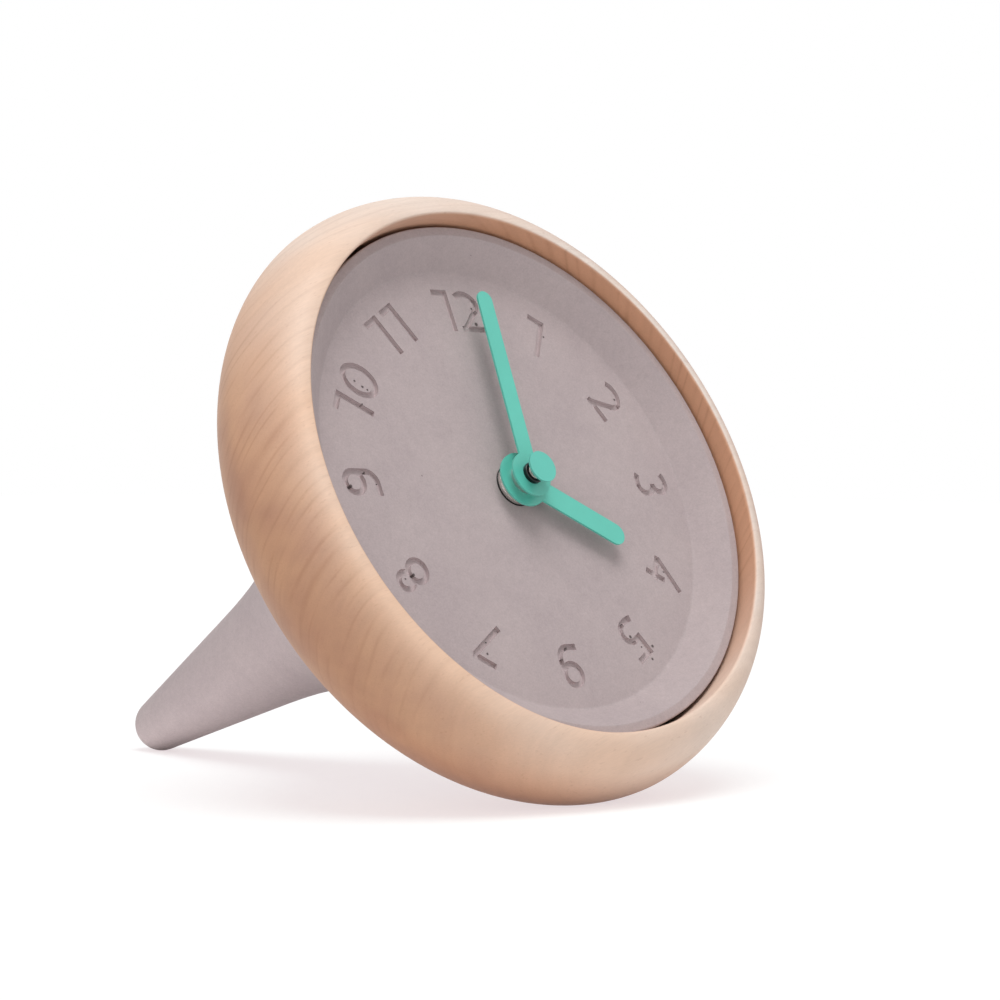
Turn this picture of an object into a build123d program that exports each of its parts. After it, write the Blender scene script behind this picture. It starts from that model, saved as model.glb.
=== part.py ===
from build123d import *
import os
from math import acos, cos, pi, radians, sin, sqrt, tan

# A desk clock shaped like a spinning top on its side: a wooden ring with a cast dial, leaning
# back on a cast foot behind it. Millimetres. Each piece is built in the clock's own axes, with
# Z along the clock's axis towards the viewer, Y towards the 12 and Z = 0 at the ring's front
# lip. Depths are measured back from that lip. The finished pieces are then leant back and
# stood on the floor, Z = 0, with the dial facing -Y.

# Stance
lean_angle = 26.0
rest_flat_width = 8.0

# Wooden ring, from the movement outwards: the opening that the movement passes, the wall round
# the opening, the land that the foot meets, the ledge under the dial and the rim round the lip
opening_clearance = 0.3
rear_lip_width = 5.3
rear_land_width = 9.2
rear_wall_thickness = 5.5
ledge_width = 16.5
rim_width = 8.95
lip_round = 0.6
ring_widest_depth = 15.2
ring_front_fullness = 1.81
ring_rear_fullness = 1.71

# Cast dial
dial_clearance = 0.85
dial_rim_depth = 4.5
dial_rim_width = 2.2
dial_rim_round = 0.4
dial_bevel_width = 6.0
dial_dish_depth = 5.9
dial_thickness = 5.0
dial_bevel_round = 1.0
bedding_thickness = 0.5
bedding_inset = 3.0

# Numbers pressed into the dial
number_height = 10.0
number_margin = 4.2
number_stroke = 1.4
number_depth = 0.9
number_gap = 1.7

# Cast foot
foot_gap = 0.3
foot_rim_height = 4.5
foot_edge_setback = 0.6
foot_half_angle = 8.3
foot_flare_length = 67.0
foot_flare_power = 3.0
tip_radius = 6.5
spigot_height = 3.2
spigot_wall = 7.0
spigot_clearance = 0.3
spigot_room = 1.0
knob_room = 7.6

# Magnets between the ring and the foot
magnet_radius = 3.0
magnet_thickness = 3.0
magnet_count = 3

# Hands. The angles are clockwise from the 12.
hand_thickness = 0.5
hour_hand_length = 28.4
hour_hand_width = 5.0
hour_hub_rim = 2.7
hour_collet_wall = 1.0
hour_collet_height = 1.5
hour_hand_angle = 120.4
minute_hand_length = 44.0
minute_hand_width = 4.1
minute_hub_rim = 2.4
minute_collet_wall = 1.1
minute_collet_height = 0.4
minute_nut_wall = 0.8
minute_nut_height = 1.0
minute_nut_edge = 0.15
minute_hand_angle = 4.5
seconds_disc_radius = 3.55
seconds_disc_thickness = 0.5
seconds_stem_radius = 1.3
seconds_stem_height = 1.7
hand_gap = 0.3
arbor_protrusion = 0.2

# Nut, washers and neck
neck_wall = 1.15
neck_clearance = 0.2
nut_wall = 0.95
nut_thickness = 2.1
nut_edge = 0.3
nut_groove_depth = 0.2
nut_groove_width = 0.25
nut_groove_place = 0.7
washer_rim = 0.15
washer_thickness = 0.25
rubber_rim = 5.35
rubber_thickness = 0.6
hand_nut_gap = 0.5

# Movement case
case_corner = 3.0
case_wall = 1.2
front_plate_thickness = 1.5
bridge_thickness = 1.0
bridge_margin = 2.2
post_radius = 1.5
rear_room = 0.3
bay_clearance = 0.3
bay_floor = 1.0
train_clearance = 0.5

# Wheels
wheel_thickness = 0.9
layer_gap = 0.5
running_clearance = 0.05
pivot_radius = 0.4
seconds_arbor_radius = 0.45
centre_arbor_radius = 1.6
hour_pipe_radius = 2.5
motion_arbor_radius = 0.5
knob_arbor_radius = 1.0
knob_radius = 4.5
knob_height = 2.0
knob_gap = 0.4
knob_notch_radius = 0.5
knob_notch_count = 16
magnet_rotor_radius = 2.6
magnet_rotor_thickness = 1.8
rotor_gap = 0.4
motion_distance = 8.4
third_distance = 6.48
intermediate_distance = 5.6
rotor_distance = 4.8
motion_direction = -10.0
third_direction = 200.0
intermediate_direction = 90.0

# Tooth counts
cannon_teeth = 12
motion_teeth = 36
motion_pinion_teeth = 10
hour_teeth = 40
knob_teeth = 12
centre_teeth = 64
third_teeth = 60
seconds_teeth = 48
intermediate_teeth = 40
pinion_teeth = 8
pressure_angle = 20.0
addendum_share = 0.9
dedendum_share = 1.15
tooth_width_share = 0.80
tip_land_share = 0.2

# Coil and stator
stator_thickness = 1.0
stator_margin = 9.8
stator_rim = 0.9
stator_leg_width = 5.0
rotor_hole_clearance = 0.4
core_width = 3.0
core_thickness = 1.0
coil_margin = 3.0
bobbin_wall = 0.22
bobbin_clearance = 2.0
bobbin_flange_rise = 0.2
bobbin_flange_thickness = 0.8
winding_depth = 0.8

# Circuit board, contacts and battery
board_thickness = 0.8
board_clearance = 1.0
board_length = 18.7
fitting_gap = 0.1
chip_radius = 2.5
chip_height = 1.0
chip_inset = 4.0
crystal_radius = 1.0
crystal_length = 6.0
contact_thickness = 0.3
contact_height = 7.3
contact_width = 10.0
contact_tab_length = 3.8
contact_tab_width = 2.3
contact_runner_height = 2.0
contact_runner_margin = 1.5
spring_length = 2.5
spring_outer_radius = 4.0
spring_inner_radius = 2.0
cell_radius = 7.1
cell_length = 50.5
cell_nub_radius = 2.7
cell_nub_height = 1.0
cell_edge_round = 0.6

# One overrun serves every cut.
overrun = 1.0

# Wheels' places across the movement


def polar(distance, direction):
    """The point at a distance and a direction, in degrees from +X, from the centre."""
    return distance * cos(radians(direction)), distance * sin(radians(direction))


def step_from(point, distance, direction):
    """The point a polar step away from another."""
    x, y = polar(distance, direction)
    return point[0] + x, point[1] + y


centre_at = (0.0, 0.0)
motion_at = polar(motion_distance, motion_direction)
third_at = polar(third_distance, third_direction)
intermediate_at = polar(intermediate_distance, intermediate_direction)
rotor_at = step_from(intermediate_at, rotor_distance, intermediate_direction)
knob_distance = motion_distance * (motion_teeth + knob_teeth) / (motion_teeth + cannon_teeth)
knob_at = step_from(motion_at, knob_distance, motion_direction)
hour_module = 2 * motion_distance / (hour_teeth + motion_pinion_teeth)
motion_module = 2 * motion_distance / (motion_teeth + cannon_teeth)
centre_module = 2 * third_distance / (centre_teeth + pinion_teeth)
third_module = 2 * third_distance / (third_teeth + pinion_teeth)
seconds_module = 2 * intermediate_distance / (seconds_teeth + pinion_teeth)
rotor_module = 2 * rotor_distance / (intermediate_teeth + pinion_teeth)
third_reach = third_module * (third_teeth / 2 + addendum_share)
knob_pinion_reach = motion_module * (knob_teeth / 2 + addendum_share)

# Radii that follow one another outwards. The chamber holds the cell with its spring, and the wheels
# over the cell's bay, whichever takes more.
neck_radius = hour_pipe_radius + running_clearance + neck_wall
nut_radius = neck_radius + nut_wall
washer_radius = nut_radius + washer_rim
rubber_radius = nut_radius + rubber_rim
hour_collet_radius = hour_pipe_radius + hour_collet_wall
hour_hub_radius = hour_collet_radius + hour_hub_rim
minute_collet_radius = centre_arbor_radius + minute_collet_wall
minute_hub_radius = minute_collet_radius + minute_hub_rim
minute_nut_radius = centre_arbor_radius + minute_nut_wall
cell_half = (cell_length + spring_length) / 2 + contact_thickness
train_half = third_reach - third_at[1] + train_clearance + case_wall + 2 * (cell_radius + bay_clearance)
chamber_half = max(cell_half, train_half)
case_half = chamber_half + case_wall
case_width = 2 * case_half
case_reach = (case_half - case_corner) * sqrt(2) + case_corner
rear_opening_radius = case_reach + opening_clearance
ring_rear_radius = rear_opening_radius + rear_land_width
cavity_radius = rear_opening_radius + rear_lip_width
lip_radius = cavity_radius + ledge_width
ring_radius = lip_radius + lip_round + rim_width
dial_radius = lip_radius - dial_clearance
dial_bevel_radius = dial_radius - dial_rim_width
dial_face_radius = dial_bevel_radius - dial_bevel_width
number_radius = dial_face_radius - number_margin - number_height / 2

# The coil and its core
rotor_hole_radius = magnet_rotor_radius + rotor_hole_clearance
stator_bar_width = 2 * (rotor_hole_radius + stator_rim)
stator_half = chamber_half - stator_margin
core_corner = sqrt(core_width**2 + core_thickness**2) / 2
bobbin_radius = core_corner + bobbin_wall
winding_radius = bobbin_radius + winding_depth
bobbin_flange_radius = winding_radius + bobbin_flange_rise
bobbin_half = stator_half - stator_leg_width - bobbin_clearance
winding_length = 2 * (bobbin_half - bobbin_flange_thickness)
coil_y = chamber_half - coil_margin - bobbin_flange_radius

# Depths along the axis, from the front of the clock to the back
dial_face_depth = dial_rim_depth + dial_dish_depth
dial_back = dial_face_depth + dial_thickness
nut_back = dial_face_depth - washer_thickness
nut_front = nut_back - nut_thickness
hour_hand_back = nut_front - hand_nut_gap
hour_hand_front = hour_hand_back - hand_thickness
hour_collet_front = hour_hand_front - hour_collet_height
minute_collet_back = hour_collet_front - hand_gap
minute_hand_back = minute_collet_back - minute_collet_height
minute_hand_front = minute_hand_back - hand_thickness
minute_nut_front = minute_hand_front - minute_nut_height
centre_arbor_front = minute_nut_front - arbor_protrusion
seconds_stem_back = centre_arbor_front - hand_gap
seconds_disc_back = seconds_stem_back - seconds_stem_height
seconds_disc_front = seconds_disc_back - seconds_disc_thickness
plate_front = dial_back + rubber_thickness
plate_back = plate_front + front_plate_thickness
hour_layer = plate_back + layer_gap
layer_pitch = wheel_thickness + layer_gap
motion_layer = hour_layer + layer_pitch
centre_layer = motion_layer + layer_pitch
bridge_front = centre_layer + layer_pitch
bridge_back = bridge_front + bridge_thickness
third_layer = bridge_back + layer_gap
seconds_layer = third_layer + layer_pitch
intermediate_layer = seconds_layer + layer_pitch
rotor_front = intermediate_layer + wheel_thickness + rotor_gap
rotor_back = rotor_front + magnet_rotor_thickness
stator_front = (rotor_front + rotor_back - stator_thickness) / 2
stator_back = stator_front + stator_thickness
core_front = stator_front - core_thickness
coil_depth = core_front + core_thickness / 2
case_inner = max(rotor_back, coil_depth + bobbin_flange_radius) + rear_room
case_back = case_inner + case_wall
board_front = case_inner - board_thickness
cell_depth = plate_back + bay_floor + cell_radius + fitting_gap
movement_back = max(case_back, cell_depth + cell_radius)
knob_back = case_back + knob_gap + knob_height
foot_front = movement_back + spigot_room + spigot_height
ring_rear_depth = foot_front - foot_gap
foot_rim_back = foot_front + foot_rim_height
cup_back = knob_back + knob_room
magnet_ring_radius = (rear_opening_radius + ring_rear_radius) / 2

# Places across the movement
bay_bottom = -chamber_half
bay_top = bay_bottom + 2 * (cell_radius + bay_clearance)
chamber_bottom = bay_top + case_wall
cell_y = (bay_bottom + bay_top) / 2


# The bridge clears the widest wheels behind and in front of it by a margin.
bridge_left = third_at[0] - third_reach - bridge_margin
bridge_right = knob_at[0] + knob_pinion_reach + bridge_margin
bridge_bottom = chamber_bottom + contact_thickness + fitting_gap
bridge_top = rotor_at[1] + bridge_margin
stator_bottom = rotor_at[1] - stator_bar_width / 2
post_top = stator_bottom - post_radius - fitting_gap
post_low = bridge_bottom + post_radius
post_left = bridge_left + post_radius
post_right = bridge_right - post_radius
bridge_posts = [
    (post_left, post_low),
    (post_right, post_low),
    (post_left, post_top - post_radius),
    (post_right, post_top - post_radius),
]


def rod(radius, front, back, at=centre_at):
    """A round bar along the axis between two depths."""
    return Pos(at[0], at[1], -(front + back) / 2) * Cylinder(radius, back - front)


def tube(outer, inner, front, back, at=centre_at):
    """A round bar with a hole right through it."""
    return rod(outer, front, back, at) - rod(inner, front - overrun, back + overrun, at)


def block(left, right, bottom, top, front, back):
    """A box between limits across the clock and two depths."""
    middle = Pos((left + right) / 2, (bottom + top) / 2, -(front + back) / 2)
    return middle * Box(right - left, top - bottom, back - front)


def turned(*edges):
    """A solid turned about the axis from outline edges drawn as radius and minus depth."""
    return revolve(Plane.XZ * make_face(Curve() + list(edges)), Axis.Z)


def extruded(face, front, back):
    """A flat face, drawn at Z = 0, made solid between two depths."""
    return extrude(Pos(0, 0, -back) * face, back - front)


# Wooden ring


def quarter(start, width, height, fullness, turn, steps=9):
    """Points of a quarter superellipse. turn 1 runs outwards and back, turn -1 back and inwards."""
    points = []
    for step in range(steps):
        angle = pi / 2 * step / (steps - 1)
        rise = sin(angle) ** (2 / fullness)
        fall = cos(angle) ** (2 / fullness) if step < steps - 1 else 0
        if turn > 0:
            points.append((start[0] + width * rise, start[1] - height * (1 - fall)))
        else:
            points.append((start[0] - width * (1 - fall), start[1] - height * rise))
    return points


front_start = (lip_radius + lip_round, 0.0)
front_width = ring_radius - front_start[0]
rear_width = ring_radius - ring_rear_radius
rear_height = ring_rear_depth - ring_widest_depth


def reach(width, height, fullness, across, along):
    """How far a quarter superellipse reaches in a direction."""
    power = fullness / (fullness - 1)
    return ((width * across) ** power + (height * along) ** power) ** (1 / power)


lean_sin = sin(radians(lean_angle))
lean_cos = cos(radians(lean_angle))
rest_flat_depth = ring_radius - sqrt(ring_radius**2 - (rest_flat_width / 2) ** 2)
ring_lowest = (
    ring_rear_radius * lean_cos
    + ring_widest_depth * lean_sin
    + reach(rear_width, rear_height, ring_rear_fullness, lean_cos, lean_sin)
)
ring_foremost = (
    front_start[0] * lean_sin
    - ring_widest_depth * lean_cos
    + reach(front_width, ring_widest_depth, ring_front_fullness, lean_sin, lean_cos)
)
lip_height = ring_lowest - rest_flat_depth
tip_depth = (lip_height - tip_radius) / lean_sin
rearmost = tip_depth * lean_cos + tip_radius
lip_y = (ring_foremost - rearmost) / 2
standing = Pos(0, lip_y, lip_height) * Rot(90 - lean_angle, 0, 0)


def floor_cut():
    """The space under the floor, in the clock's own axes, which takes the flat off the ring."""
    size = 4 * ring_radius
    below = Pos(0, 0, -size / 2) * Box(2 * size, 2 * size, size)
    return standing.inverse() * below


def magnet_places():
    """Where the magnets stand around the axis, one of them at the top."""
    for n in range(magnet_count):
        yield polar(magnet_ring_radius, 90 + 360 * n / magnet_count)


def wood_ring():
    front = quarter(front_start, front_width, ring_widest_depth, ring_front_fullness, 1)
    rear = quarter(front[-1], rear_width, rear_height, ring_rear_fullness, -1)
    ledge = dial_back + bedding_thickness
    wall_front = ring_rear_depth - rear_wall_thickness
    inside = Polyline(
        rear[-1],
        (rear_opening_radius, -ring_rear_depth),
        (rear_opening_radius, -wall_front),
        (cavity_radius, -wall_front),
        (cavity_radius, -ledge),
        (lip_radius, -ledge),
        (lip_radius, -lip_round),
    )
    lip = RadiusArc((lip_radius, -lip_round), front[0], lip_round)
    body = turned(
        Spline(*front, tangents=[(1, 0), (0, -1)]),
        Spline(*rear, tangents=[(0, -1), (-1, 0)]),
        inside,
        lip,
    )
    for at in magnet_places():
        body -= rod(magnet_radius, ring_rear_depth - magnet_thickness, ring_rear_depth + overrun, at)
    return body - floor_cut()


def ring_magnets():
    front = ring_rear_depth - magnet_thickness
    return [rod(magnet_radius, front, ring_rear_depth, at) for at in magnet_places()]


# Dial and its numbers. Each digit is drawn about its middle in shares of a number's height. Of
# its strokes, two points make a straight one and three points an arc.
digit_width_shares = [0.76, 0.46, 0.67, 0.59, 0.63, 0.63, 0.62, 0.63, 0.62, 0.62]
digit_stroke_shares = {
    1: [[(0.16, 0.5), (0.16, -0.5)], [(0.16, 0.43), (-0.23, 0.43)]],
    2: [
        [(-0.3, 0.35), (-0.02, 0.43), (0.24, 0.27)],
        [(0.24, 0.27), (0.26, 0.15), (0.21, 0.04)],
        [(0.21, 0.04), (-0.28, -0.47)],
        [(-0.33, -0.43), (0.34, -0.43)],
    ],
    3: [
        [(-0.24, 0.36), (-0.13, 0.415), (-0.02, 0.43)],
        [(-0.02, 0.43), (0.185, 0.225), (-0.02, 0.02)],
        [(-0.02, 0.02), (0.205, -0.205), (-0.02, -0.43)],
        [(-0.02, -0.43), (-0.15, -0.415), (-0.27, -0.36)],
    ],
    4: [
        [(0.28, 0.5), (-0.27, -0.23)],
        [(-0.31, -0.23), (0.31, -0.23)],
        [(0.19, 0.05), (0.19, -0.5)],
    ],
    5: [
        [(-0.24, 0.43), (0.31, 0.43)],
        [(-0.17, 0.43), (-0.17, 0.03)],
        [(-0.24, 0.03), (0.02, 0.03)],
        [(0.02, 0.03), (0.24, -0.2), (0.02, -0.43)],
        [(0.02, -0.43), (-0.15, -0.425), (-0.31, -0.39)],
    ],
    6: [
        [(-0.24, -0.19), (-0.24, 0.16)],
        [(-0.24, 0.16), (-0.161, 0.351), (0.03, 0.43)],
        [(0.03, 0.43), (0.3, 0.43)],
    ],
    7: [[(-0.31, 0.43), (0.31, 0.43)], [(0.265, 0.43), (-0.2, -0.5)]],
}
# Round bowls, as the height of the middle and the radius of the stroke's middle line
digit_bowl_shares = {6: [(-0.19, 0.24)], 8: [(0.24, 0.19), (-0.19, 0.24)]}
# How each hour's number is cast off its place: degrees clockwise, and outwards in its height
number_turns = [0.0, 0.8, -0.2, -0.3, 0.1, 0.8, 2.0, 1.6, 1.3, 0.7, -0.6, 0.6]
number_shift_shares = [0.02, 0.05, 0.06, 0.05, -0.02, -0.05, -0.02, -0.02, 0.06, 0.01, -0.02, -0.02]


def digit_face(digit):
    """A digit's strokes, at a height of one."""
    if digit == 9:
        return Rot(0, 0, 180) * digit_face(6)
    pen_share = number_stroke / number_height
    if digit == 0:
        wide_share = digit_width_shares[0] / 2
        return Ellipse(wide_share, 1 / 2) - Ellipse(wide_share - pen_share, 1 / 2 - pen_share)
    face = Sketch()
    for points in digit_stroke_shares.get(digit, []):
        line = ThreePointArc(*points) if len(points) == 3 else Line(*points)
        face += trace(line, pen_share)
    for height_share, radius_share in digit_bowl_shares.get(digit, []):
        bowl = Circle(radius_share + pen_share / 2) - Circle(radius_share - pen_share / 2)
        face += Pos(0, height_share) * bowl
    return face


def number_faces(hour):
    """The digits of an hour's number at full size, centred, with their tops towards +Y."""
    digits = [int(letter) for letter in str(hour)]
    widths = [number_height * digit_width_shares[digit] for digit in digits]
    left = -(sum(widths) + number_gap * (len(digits) - 1)) / 2
    faces = []
    for digit, width in zip(digits, widths):
        faces.append(Pos(left + width / 2, 0) * scale(digit_face(digit), number_height))
        left += width + number_gap
    return faces


def number_cutters():
    """Solids that press the numbers into the dial, tops outwards but for the upright 6."""
    cutters = []
    for hour, off, shift_share in zip(range(1, 13), number_turns, number_shift_shares):
        turn = -360 * hour / 12 - off
        upright = 180 if hour == 6 else 0
        outwards = number_radius + number_height * shift_share
        place = Rot(0, 0, turn) * Pos(0, outwards) * Rot(0, 0, upright)
        for face in number_faces(hour):
            front = dial_face_depth - overrun
            cutters.append(extruded(place * face, front, dial_face_depth + number_depth))
    return cutters


def concrete_dial():
    bore = neck_radius + neck_clearance
    outline = Polyline(
        (bore, -dial_face_depth),
        (dial_face_radius, -dial_face_depth),
        (dial_bevel_radius, -dial_rim_depth),
        (dial_radius, -dial_rim_depth),
        (dial_radius, -dial_back),
        (bore, -dial_back),
        close=True,
    )
    profile = make_face(outline)
    for radius, edge_round in (
        (dial_face_radius, dial_bevel_round),
        (dial_bevel_radius, dial_rim_round),
        (dial_radius, dial_rim_round),
    ):
        corners = [v for v in profile.vertices() if abs(v.X - radius) < fitting_gap]
        profile = fillet(corners, edge_round)
    body = revolve(Plane.XZ * profile, Axis.Z)
    for cutter in number_cutters():
        body -= cutter
    return body


def dial_bedding():
    outer = lip_radius - bedding_inset
    inner = cavity_radius + bedding_inset
    return tube(outer, inner, dial_back, dial_back + bedding_thickness)


# Nut and washers


def dial_washer():
    return tube(washer_radius, neck_radius + neck_clearance, nut_back, dial_face_depth)


def dial_nut():
    """A round nut with a groove round its side."""
    nut = rod(nut_radius, nut_front, nut_back)
    nut = chamfer(nut.edges().group_by(Axis.Z)[-1], nut_edge)
    groove_back = nut_back - nut_groove_place
    nut -= tube(
        nut_radius + overrun,
        nut_radius - nut_groove_depth,
        groove_back - nut_groove_width,
        groove_back,
    )
    return nut - rod(neck_radius, nut_front - overrun, nut_back + overrun)


def rubber_washer():
    return tube(rubber_radius, neck_radius + neck_clearance, dial_back, plate_front)


# Cast foot


def foot_radius(depth):
    """The foot's radius: a straight taper to the tip, with a flare that grows to the rim."""
    slope = tan(radians(foot_half_angle))
    taper = tip_radius / cos(radians(foot_half_angle)) + (tip_depth - depth) * slope
    rim_taper = tip_radius / cos(radians(foot_half_angle)) + (tip_depth - foot_rim_back) * slope
    rise = ring_rear_radius - foot_edge_setback - rim_taper
    along = max(0, 1 - (depth - foot_rim_back) / foot_flare_length)
    return taper + rise * along**foot_flare_power


def rear_foot():
    steps = 10
    depths = [foot_rim_back + foot_flare_length * n / steps for n in range(steps + 1)]
    flare = Spline(*[(foot_radius(d), -d) for d in depths])
    half = radians(foot_half_angle)
    tangent = (tip_radius * cos(half), -(tip_depth + tip_radius * sin(half)))
    rim = foot_radius(foot_rim_back)
    outer_spigot = rear_opening_radius - spigot_clearance
    inner_spigot = outer_spigot - spigot_wall
    body = turned(
        Polyline((0, -(tip_depth + tip_radius)), (0, -cup_back), (inner_spigot, -cup_back)),
        Polyline(
            (inner_spigot, -cup_back),
            (inner_spigot, -(foot_front - spigot_height)),
            (outer_spigot, -(foot_front - spigot_height)),
            (outer_spigot, -foot_front),
            (rim, -foot_front),
            (rim, -foot_rim_back),
        ),
        flare,
        Line(flare @ 1, tangent),
        CenterArc((0, -tip_depth), tip_radius, -90, 90 - foot_half_angle),
    )
    for at in magnet_places():
        body -= rod(magnet_radius, foot_front - overrun, foot_front + magnet_thickness, at)
    return body


def foot_magnets():
    back = foot_front + magnet_thickness
    return [rod(magnet_radius, foot_front, back, at) for at in magnet_places()]


# Hands


def hand(length, width, hub, bore, front, angle):
    """A flat hand with a round hub and a round end, turned clockwise from the 12."""
    blade = Pos(0, (length - width / 2) / 2) * Rectangle(width, length - width / 2)
    tip = Pos(0, length - width / 2) * Circle(width / 2)
    face = Circle(hub) + blade + tip - Circle(bore)
    return extruded(Rot(0, 0, -angle) * face, front, front + hand_thickness)


def hour_hand():
    return hand(
        hour_hand_length,
        hour_hand_width,
        hour_hub_radius,
        hour_pipe_radius,
        hour_hand_front,
        hour_hand_angle,
    )


def minute_hand():
    return hand(
        minute_hand_length,
        minute_hand_width,
        minute_hub_radius,
        centre_arbor_radius,
        minute_hand_front,
        minute_hand_angle,
    )


def hour_hand_collet():
    return tube(hour_collet_radius, hour_pipe_radius, hour_collet_front, hour_hand_front)


def minute_hand_collet():
    return tube(minute_collet_radius, centre_arbor_radius, minute_hand_back, minute_collet_back)


def minute_hand_nut():
    nut = rod(minute_nut_radius, minute_nut_front, minute_hand_front)
    nut = chamfer(nut.edges().group_by(Axis.Z)[-1], minute_nut_edge)
    return nut - rod(centre_arbor_radius, minute_nut_front - overrun, minute_hand_front + overrun)


def seconds_disc():
    return rod(seconds_disc_radius, seconds_disc_front, seconds_disc_back)


def seconds_stem():
    return tube(seconds_stem_radius, seconds_arbor_radius, seconds_disc_back, seconds_stem_back)


# Wheels


def gear_face(teeth, module, phase):
    """A toothed disc with slim straight-sided teeth. phase is where a tooth points, in degrees."""
    pitch = teeth * module / 2
    base = pitch * cos(radians(pressure_angle))
    tip = pitch + addendum_share * module
    root = pitch - dedendum_share * module

    def roll(radius):
        angle = acos(min(1, base / radius))
        return tan(angle) - angle

    at_pitch = pi / 2 / teeth * tooth_width_share
    waist = max(base, root)
    shape = [
        (root, at_pitch + roll(pitch) - roll(waist)),
        (pitch, at_pitch),
        (tip, max(at_pitch + roll(pitch) - roll(tip), tip_land_share * at_pitch)),
    ]
    points = []
    for n in range(teeth):
        middle = radians(phase) + 2 * pi * n / teeth
        for radius, half in shape:
            points.append((radius * cos(middle - half), radius * sin(middle - half)))
        for radius, half in reversed(shape):
            points.append((radius * cos(middle + half), radius * sin(middle + half)))
    return make_face(Polyline(*points, close=True))


def gear(teeth, module, layer, at=centre_at, phase=0.0, longer=0.0):
    face = Pos(at[0], at[1]) * gear_face(teeth, module, phase)
    return extruded(face, layer, layer + wheel_thickness + longer)


def meshed(direction, driver_teeth, driver_phase, teeth):
    """The phase that puts a wheel's gap on the driver's tooth along the line between them."""
    across = (direction - driver_phase) * driver_teeth / 360 % 1
    return direction + 180 - (0.5 - across) * 360 / teeth


motion_phase = meshed(motion_direction, cannon_teeth, 0, motion_teeth)
# The motion wheel's pinion drives the hour wheel, so the hour wheel's phase follows it.
hour_phase = meshed(motion_direction + 180, motion_pinion_teeth, 0, hour_teeth)
knob_phase = meshed(motion_direction, motion_teeth, motion_phase, knob_teeth)
third_phase = meshed(third_direction, centre_teeth, 0, pinion_teeth)
seconds_phase = meshed(third_direction + 180, third_teeth, 0, pinion_teeth)
intermediate_phase = meshed(intermediate_direction, seconds_teeth, 0, pinion_teeth)
rotor_phase = meshed(intermediate_direction, intermediate_teeth, 0, pinion_teeth)


def hour_wheel():
    bore = centre_arbor_radius + running_clearance
    wheel = gear(hour_teeth, hour_module, hour_layer, phase=hour_phase)
    pipe = rod(hour_pipe_radius, hour_collet_front, hour_layer + wheel_thickness)
    return wheel + pipe - rod(bore, hour_collet_front - overrun, motion_layer)


def motion_wheel():
    wheel = gear(motion_teeth, motion_module, motion_layer, motion_at, motion_phase)
    pinion = gear(motion_pinion_teeth, hour_module, hour_layer, motion_at, longer=layer_gap)
    arbor = rod(motion_arbor_radius, plate_front + front_plate_thickness / 2, bridge_back, motion_at)
    return wheel + pinion + arbor


def centre_wheel():
    bore = seconds_arbor_radius + running_clearance
    wheel = gear(centre_teeth, centre_module, centre_layer)
    cannon = gear(cannon_teeth, motion_module, motion_layer, longer=layer_gap)
    back = centre_layer + wheel_thickness
    arbor = rod(centre_arbor_radius, centre_arbor_front, back)
    return wheel + cannon + arbor - rod(bore, centre_arbor_front - overrun, back + overrun)


def third_wheel():
    wheel = gear(third_teeth, third_module, third_layer, third_at)
    pinion = gear(pinion_teeth, centre_module, centre_layer, third_at, third_phase)
    arbor = rod(pivot_radius, centre_layer, case_inner + case_wall / 2, third_at)
    return wheel + pinion + arbor


def seconds_wheel():
    wheel = gear(seconds_teeth, seconds_module, seconds_layer)
    pinion = gear(pinion_teeth, third_module, third_layer, phase=seconds_phase, longer=layer_gap)
    arbor = rod(seconds_arbor_radius, seconds_disc_back, case_inner + case_wall / 2)
    return wheel + pinion + arbor


def intermediate_wheel():
    wheel = gear(intermediate_teeth, rotor_module, intermediate_layer, intermediate_at)
    pinion = gear(
        pinion_teeth, seconds_module, seconds_layer, intermediate_at, intermediate_phase, layer_gap
    )
    arbor = rod(pivot_radius, bridge_front, case_inner + case_wall / 2, intermediate_at)
    return wheel + pinion + arbor


def rotor_arbor():
    pinion = gear(pinion_teeth, rotor_module, intermediate_layer, rotor_at, rotor_phase)
    arbor = rod(pivot_radius, bridge_front, case_inner + case_wall / 2, rotor_at)
    return pinion + arbor


def rotor_magnet():
    return tube(magnet_rotor_radius, pivot_radius, rotor_front, rotor_back, rotor_at)


def setting_knob():
    pinion = gear(knob_teeth, motion_module, motion_layer, knob_at, knob_phase)
    arbor = rod(knob_arbor_radius, plate_front + front_plate_thickness / 2, case_back + knob_gap, knob_at)
    front = case_back + knob_gap
    head = rod(knob_radius, front, front + knob_height, knob_at)
    for n in range(knob_notch_count):
        notch_at = step_from(knob_at, knob_radius, 360 * n / knob_notch_count)
        head -= rod(knob_notch_radius, front - overrun, front + knob_height + overrun, notch_at)
    return pinion + arbor + head


# Movement case, plates and bridge


def case_slab(front, back):
    """A slab with the outline of the movement."""
    face = RectangleRounded(case_width, case_width, case_corner)
    return extruded(face, front, back)


def bearing(radius, front, back, at=centre_at):
    """A cutter for a hole that a pivot turns in."""
    return rod(radius + running_clearance, front, back, at)


def movement_front_plate():
    plate = case_slab(plate_front, plate_back)
    plate += rod(neck_radius, nut_front, plate_front)
    for at in bridge_posts:
        plate += rod(post_radius, plate_back, bridge_front, at)
    plate -= bearing(hour_pipe_radius, nut_front - overrun, plate_back + overrun)
    half_plate = plate_front + front_plate_thickness / 2
    plate -= bearing(motion_arbor_radius, half_plate, plate_back + overrun, motion_at)
    return plate - bearing(knob_arbor_radius, half_plate, plate_back + overrun, knob_at)


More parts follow.
